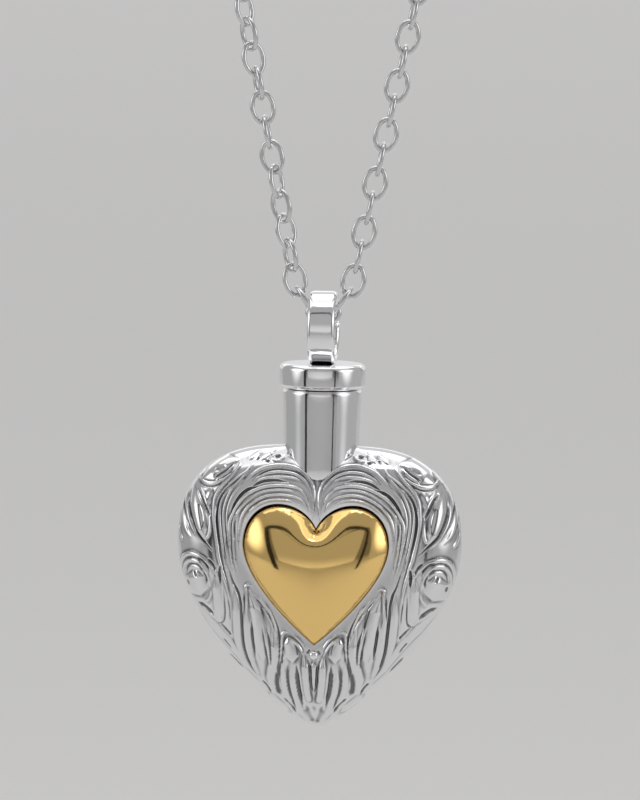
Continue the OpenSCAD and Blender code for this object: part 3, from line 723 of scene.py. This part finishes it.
def puffed(x, z):
    """Share of the full rise: round at the rim, full in the middle, creased under the cleft."""
    height = blown_at(x, z)
    # the swell sits higher in the middle and lower at the sides than the skin's own
    lift = (4 - 6 * eased(np.abs(x) / 42)) * eased(height / 0.9)
    height = blown_at(x, z - lift)
    crease = 0.085 * np.exp(-np.abs(x) / 14) * eased((z - 92) / 26) * eased(height / 0.15)
    return 0.35 * np.sqrt(height) + 0.65 * height - crease


gold_shares = [0.02, *np.arange(0.06, 0.67, 0.06), 0.71, 0.76, 0.8, 0.84, 0.87, 0.9]
gold_shares += [0.925, 0.95, 0.965, 0.98, 0.99, 1]
gold_rings = []
for t in gold_shares:
    half = flat_half(gold_half, t, 0)
    swell = puffed(half[:, 0] / share_x, half[:, 2] / share_z) if t < 1 else 0
    half[:, 1] = -(gold_back + gold_edge + gold_rise * swell)
    gold_rings.append(mirrored(half))
for t in (1, 0.5):
    gold_rings.append(mirrored(flat_half(gold_half, t, -gold_back)))
crown_swell = puffed(np.array([0.0]), np.array([float(heart_mid)]))[0]
gold_crown = (0, -gold_back - gold_edge - gold_rise * crown_swell, heart_mid * share_z)
gold_back_mid = (0, -gold_back, heart_mid * share_z)
gold = ringed_mesh("gold_dome", gold_crown, np.array(gold_rings), gold_back_mid)
yellow_gold = polished_metal("yellow_gold", (0.93, 0.64, 0.24), 0.06, 0.05, 500, 0.03)
gold.data.materials.append(yellow_gold)
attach(gold, "urn")
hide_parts("gold_heart")

# The cap. It is turned from bright silver in one with its stud, made as a lathe profile with
# a chamfered foot and a rounded crown. The thread's ridges are rings.
cap_r, cap_round, cap_foot, cap_crown = 2.5, 0.35, 19.75, 21.2
stud_r, stud_long, thread_depth, thread_pitch, thread_turns = 1.27, 2.4, 0.14, 0.4, 5
stud_foot, thread_root = cap_foot - stud_long, stud_r - thread_depth
cap_profile = [(near_axis, stud_foot), (thread_root, stud_foot)]
for i in range(thread_turns):
    cap_profile.append((thread_root, stud_foot + (i + 0.5) * thread_pitch))
    cap_profile.append((stud_r, stud_foot + (i + 1) * thread_pitch))
cap_profile.append((thread_root, stud_foot + (thread_turns + 0.5) * thread_pitch))
cap_profile.append((thread_root, cap_foot))
cap_profile += rounded((2.24, cap_foot + 0.04), 0.04, -90, -45, 4)
cap_profile += rounded((2.44, cap_foot + 0.24), 0.06, -45, 0, 4)
cap_profile += rounded((cap_r - cap_round, cap_crown - cap_round), cap_round, 0, 90, 12)
cap_profile.append((near_axis, cap_crown))
cap = lathe("cap", cap_profile, 128)
cap.data.materials.append(turned_silver)
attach(cap, "cap")
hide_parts("cap_bail")

# The bail. It is a band of silver with rounded edges, bent to an upright loop and soldered on
# the cap, made by carrying the band's section round the loop.
band_wide, band_thick, band_edge, band_round = 1.6, 0.45, 0.2, 0.27
bail_mid_r, bail_bend, bail_tall, bail_sink = 1.775, 2.0, 4.2, 0.1125
bail_upper = cap_crown + bail_tall - bail_bend
bail_lower = cap_crown - bail_sink + bail_bend
band_section = []
for out, side, turned in ((1, 1, 0), (-1, 1, 90), (-1, -1, 180), (1, -1, 270)):
    corner_out, corner_side = band_thick / 2 - band_edge, band_wide / 2 - band_round
    for angle in np.radians(np.linspace(turned, turned + 90, 7)):
        rise_out, rise_side = band_edge * math.cos(angle), band_round * math.sin(angle)
        band_section.append((out * corner_out + rise_out, side * corner_side + rise_side))
# the ring at 180 degrees comes twice, so that the straight back side starts with its own shading
bail_path = [(math.radians(a), bail_upper) for a in [*range(0, 181, 5), 180]]
bail_path += [(math.radians(a), bail_lower) for a in range(185, 361, 5)]
bail_points = []
for angle, middle in bail_path:
    for out, across in band_section:
        r = bail_mid_r + out
        bail_points.append((across, -r * math.cos(angle), middle + r * math.sin(angle)))
bail_verts = np.array(bail_points) * MM + (0, 0, heart_tip_z)
bail = plain_object("bail", bail_verts, ring_faces(len(bail_path), len(band_section)))
bail.data.materials.append(turned_silver)
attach(bail, "cap")
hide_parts("cap_bail")

# The chain's front stretch: oval links of round silver wire, soldered shut, each hooked in
# the next. One link lies in the bail and fourteen climb on each side.
link_width, link_wire, link_pitch, link_long, link_bend = 1.5, 0.28, 1.45, 2.13, 0.45
climbing_links = 14
first_lean, strand_lean, first_shift = 34.7, 11.6, 0.12
# degrees by which each link turns against the last, on the left strand and on the right
link_turn = {-1: 101, 1: 91}
pivot_z = pivot.z / MM
side_x = link_pitch / 2 + link_pitch * math.sin(math.radians(first_lean))
side_z = pivot_z + link_pitch * math.cos(math.radians(first_lean))


def oval_line(bends):
    """Middle line of a link's wire: two tight end bends joined by two long side bends."""
    half_long, half_wide = (link_long - link_wire) / 2, (link_width - link_wire) / 2
    rise = half_long - link_bend
    side_bend = (half_wide ** 2 + rise ** 2 - link_bend ** 2) / (2 * (half_wide - link_bend))
    joint = math.atan2(rise, side_bend - half_wide)
    line = []
    for turned, sign in ((0, 1), (math.pi, -1)):
        for i in range(bends):
            angle = joint + (math.pi - 2 * joint) * i / bends + turned
            x, z = link_bend * math.cos(angle), link_bend * math.sin(angle) + sign * rise
            line.append((x, z, angle))
        for i in range(bends):
            angle = math.pi - joint + 2 * joint * i / bends + turned
            x = side_bend * math.cos(angle) + sign * (side_bend - half_wide)
            line.append((x, side_bend * math.sin(angle), angle))
    return line


def oval_link(bends, sides):
    """Points and faces of one link in its own plane, its length along Z, in millimetres."""
    rings = []
    for x, z, angle in oval_line(bends):
        for b in 2 * math.pi * np.arange(sides) / sides:
            out = link_wire / 2 * math.cos(b)
            y = link_wire / 2 * math.sin(b)
            rings.append((x + out * math.cos(angle), y, z + out * math.sin(angle)))
    return np.array(rings), np.array(ring_faces(4 * bends, sides))


def links_object(name, places, bends, sides):
    """One object of many links, each at a centre in the XZ plane with its lean and its turn."""
    points, faces = oval_link(bends, sides)
    all_points, all_faces = [], []
    for x, z, lean, about in places:
        place = Matrix.Translation((x, 0, z)) @ Matrix.Rotation(math.radians(lean), 4, "Y")
        m = np.array(place @ Matrix.Rotation(math.radians(about), 4, "Z"))
        all_faces.append(faces + len(all_points) * len(points))
        all_points.append(points @ m[:3, :3].T + m[:3, 3])
    return plain_object(name, np.concatenate(all_points) * MM, np.concatenate(all_faces))


def front_place(k):
    """Centre and lean of link k of the right strand, the first one leaning out of the bail."""
    if k == 1:
        foot_x, foot_z, lean = link_pitch / 2, pivot_z, math.radians(first_lean)
        along, shift = link_pitch / 2, first_shift * math.sqrt(0.5)
    else:
        foot_x, foot_z, lean = side_x, side_z, math.radians(strand_lean)
        along, shift = (k - 1.5) * link_pitch, 0
    return foot_x + along * math.sin(lean) - shift, foot_z + along * math.cos(lean) + shift, lean


front_places = [(0, pivot_z, 90, 0)]
for side in (-1, 1):
    for k in range(1, climbing_links + 1):
        x, z, lean = front_place(k)
        front_places.append((side * x, z, side * math.degrees(lean), link_turn[side] * k))
front_links = links_object("front_links", front_places, 12, 16)
# painted shade: the chain's silver is darker than the other silver, standing for the shade among
# its thin wires
chain_silver = polished_metal("chain_silver", (0.68, 0.68, 0.69), 0.14, 0.1, 1500, 0.05)
front_links.data.materials.append(chain_silver)
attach(front_links, "necklace")
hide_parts("chain_front")

# The chain's back stretch: the same links, each turned about a quarter against the last,
# straight up both strands and in a half round over the holder to the clasp's eye and ring.
loop_r, loop_mid_z, straight_long = 35.2205, -34.4705, 163.87
eye_far_wire, ring_near_wire = 3.9, 2.25


def strand_place(distance):
    """Centre and lean at a distance along the right strand, in millimetres and degrees."""
    lean = math.radians(strand_lean)
    if distance < straight_long:
        return side_x + distance * math.sin(lean), side_z + distance * math.cos(lean), strand_lean
    angle = (distance - straight_long) / loop_r - lean
    x, z = loop_r * math.cos(angle), loop_mid_z + loop_r * math.sin(angle)
    return x, z, -math.degrees(angle)


back_places = []
start = (climbing_links - 1) * link_pitch
for side, last_x in ((-1, ring_near_wire), (1, eye_far_wire)):
    bend = math.pi / 2 - math.asin(last_x / loop_r) + math.radians(strand_lean)
    stretch = straight_long + loop_r * bend - start
    count = round(stretch / link_pitch)
    for i in range(count):
        x, z, lean = strand_place(start + (i + 0.5) * stretch / count)
        turned = link_turn[side] * (climbing_links + 1 + i)
        back_places.append((side * x, z, side * lean, turned))
back_links = links_object("back_links", back_places, 5, 8)
back_links.data.materials.append(chain_silver)
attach(back_links, "necklace")
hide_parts("chain_back")

# The clasp. It is a ring of silver tube with a soldered eye and a thumb stud at the chain's
# crown, and keeps the shape of its solid.
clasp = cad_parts["clasp"]
clasp.data.materials.clear()
clasp.data.materials.append(turned_silver)
